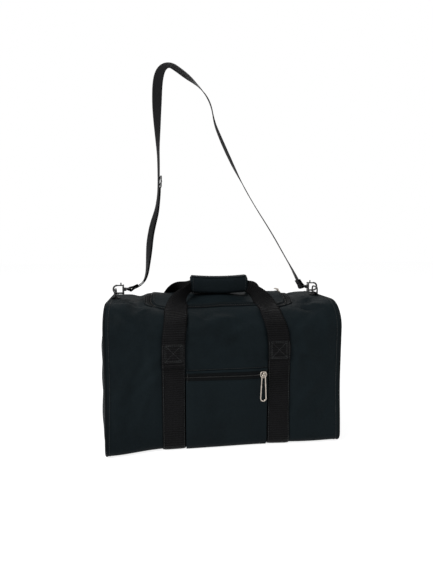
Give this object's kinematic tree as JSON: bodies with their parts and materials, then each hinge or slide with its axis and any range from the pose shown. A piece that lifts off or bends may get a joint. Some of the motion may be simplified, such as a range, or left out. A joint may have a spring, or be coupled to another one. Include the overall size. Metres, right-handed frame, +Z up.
{
  "type": "duffel bag",
  "caption": "Soft travel duffel bag with a zipped top flap, twin webbing handles in a padded wrap, a zipped front pocket and a clip-on shoulder strap.",
  "frame": {"origin": "middle of the base, on the surface that the bag stands on", "axes": "+X along the bag, -Y towards its front pocket, +Z up"},
  "size_m": [0.4, 0.214, 0.6914],
  "materials": {
    "shell_fabric": "coated woven nylon, semi-matte",
    "webbing": "ribbed webbing",
    "grip_pad": "padded fabric",
    "thread": "dense stitching",
    "piping": "corded binding",
    "zip_tape": "woven tape",
    "zip_teeth": "nylon coil",
    "zip_metal": "satin nickel",
    "hardware": "black enamel",
    "board": "plain"
  },
  "bodies": {
    "bag": {"base_board": "board", "body_panel": "shell_fabric", "front_left_stitching": "thread", "front_left_web": "webbing", "front_right_stitching": "thread", "front_right_web": "webbing", "left_end_panel": "shell_fabric", "left_hook": "hardware", "left_piping": "piping", "left_ring_tab": "webbing", "opening_coil": "zip_teeth", "opening_tape": "zip_tape", "pocket_coil": "zip_teeth", "pocket_panel": "shell_fabric", "pocket_tape_lower": "zip_tape", "pocket_tape_upper": "zip_tape", "rear_left_stitching": "thread", "rear_left_web": "webbing", "rear_right_stitching": "thread", "rear_right_web": "webbing", "right_end_panel": "shell_fabric", "right_hook": "hardware", "right_piping": "piping", "right_ring_tab": "webbing"},
    "lid": {"lid_panel": "shell_fabric", "lid_piping": "piping"},
    "front_handle": {"front_handle": "webbing", "front_grip": "grip_pad"},
    "rear_handle": {"rear_handle": "webbing", "rear_grip": "grip_pad"},
    "shoulder_strap": {"strap_webbing": "webbing", "strap_return": "webbing", "strap_adjuster": "hardware", "left_swivel_eye": "hardware", "right_swivel_eye": "hardware", "left_strap_fold": "webbing", "right_strap_fold": "webbing"},
    "left_d_ring": {"left_d_ring": "hardware"},
    "right_d_ring": {"right_d_ring": "hardware"},
    "left_gate": {"left_gate": "hardware"},
    "right_gate": {"right_gate": "hardware"},
    "pocket_slider": {"pocket_slider": "zip_metal"},
    "pocket_pull": {"pocket_pull": "zip_metal"},
    "lid_slider": {"lid_slider": "zip_metal"},
    "lid_pull": {"lid_pull": "zip_metal"}
  },
  "joints": [
    {"name": "lid_hinge", "type": "hinge", "parent": "bag", "child": "lid", "pos_m": [0, 0.0495, 0.245], "axis": [-1, 0, 0], "range_deg": [0, 95]},
    {"name": "front_handle_fold", "type": "hinge", "parent": "bag", "child": "front_handle", "pos_m": [0, -0.07531, 0.24355], "axis": [1, 0, 0], "range_deg": [0, 180]},
    {"name": "rear_handle_fold", "type": "hinge", "parent": "bag", "child": "rear_handle", "pos_m": [0, 0.07531, 0.24355], "axis": [-1, 0, 0], "range_deg": [0, 180]},
    {"name": "strap_swing", "type": "hinge", "parent": "bag", "child": "shoulder_strap", "pos_m": [0, 0, 0.2615], "axis": [-1, 0, 0], "range_deg": [-100, 70]},
    {"name": "left_ring_tilt", "type": "hinge", "parent": "bag", "child": "left_d_ring", "pos_m": [-0.188, 0, 0.248], "axis": [0, 1, 0], "range_deg": [0, 25]},
    {"name": "right_ring_tilt", "type": "hinge", "parent": "bag", "child": "right_d_ring", "pos_m": [0.188, 0, 0.248], "axis": [0, -1, 0], "range_deg": [0, 25]},
    {"name": "left_gate_press", "type": "hinge", "parent": "bag", "child": "left_gate", "pos_m": [-0.1739, 0, 0.2685], "axis": [0, -1, 0], "range_deg": [0, 25], "stiffness_Nm_per_rad": 0.05, "springref_deg": -5.73},
    {"name": "right_gate_press", "type": "hinge", "parent": "bag", "child": "right_gate", "pos_m": [0.1739, 0, 0.2685], "axis": [0, 1, 0], "range_deg": [0, 25], "stiffness_Nm_per_rad": 0.05, "springref_deg": -5.73},
    {"name": "pocket_zip_slide", "type": "slide", "parent": "bag", "child": "pocket_slider", "axis": [-1, 0, 0], "range_m": [0, 0.118]},
    {"name": "pocket_pull_swing", "type": "hinge", "parent": "pocket_slider", "child": "pocket_pull", "pos_m": [0.0605, -0.1083, 0.127], "axis": [-1, 0, 0], "range_deg": [0, 165]},
    {"name": "lid_zip_slide", "type": "slide", "parent": "bag", "child": "lid_slider", "axis": [0, -1, 0], "range_m": [0, 0.044]},
    {"name": "lid_pull_lift", "type": "hinge", "parent": "lid_slider", "child": "lid_pull", "pos_m": [0.1263, 0.04, 0.2516], "axis": [1, 0, 0], "range_deg": [0, 160]}
  ],
  "couplings": [
    {"joint": "front_handle_fold", "follows": "lid_hinge", "ratio": 1.8946},
    {"joint": "rear_handle_fold", "follows": "lid_hinge", "ratio": 1.8946}
  ]
}
